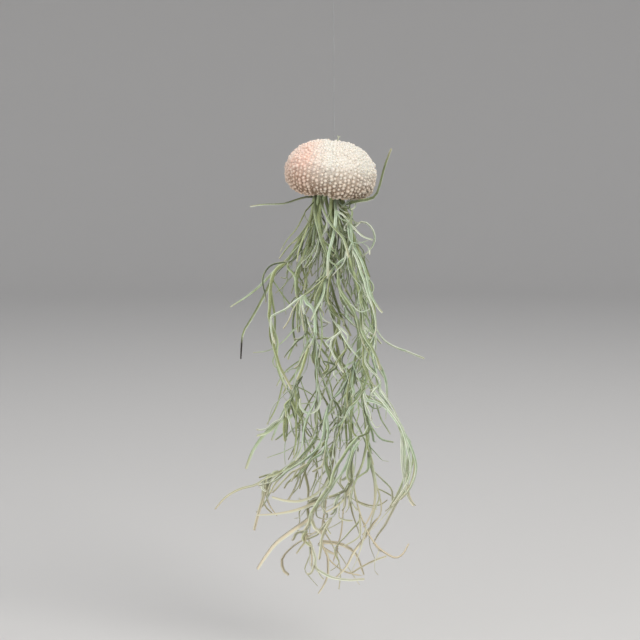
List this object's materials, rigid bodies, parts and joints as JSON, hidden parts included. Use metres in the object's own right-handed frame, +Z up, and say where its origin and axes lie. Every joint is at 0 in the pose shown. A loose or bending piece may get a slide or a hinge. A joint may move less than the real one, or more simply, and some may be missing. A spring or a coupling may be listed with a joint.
{
  "type": "hanging air plant",
  "caption": "Bunch of thick-leaved Spanish moss trailing from the mouth of an upturned sea-urchin shell, hung on a clear line with a knotted loop.",
  "frame": {"origin": "inside top of the hanging loop, where a hook's wire lies", "axes": "+Z up along the hanging line, +X to the right and +Y away from someone who sees the shell's dome lean to the right"},
  "size_m": [0.1284, 0.0752, 0.3709],
  "materials": {
    "urchin_shell": "matte",
    "moss": "matte",
    "clear_line": "gloss"
  },
  "bodies": {
    "root": {"urchin_shell": "urchin_shell", "line_tie": "clear_line", "hanging_line": "clear_line", "loop_knot": "clear_line", "moss_stem_01": "moss", "moss_stem_02": "moss", "moss_stem_03": "moss", "moss_stem_04": "moss", "moss_stem_05": "moss", "moss_stem_06": "moss", "moss_stem_07": "moss", "moss_stem_08": "moss", "moss_stem_09": "moss", "moss_stem_10": "moss", "moss_stem_11": "moss", "moss_stem_12": "moss", "moss_stem_13": "moss"}
  },
  "joints": []
}
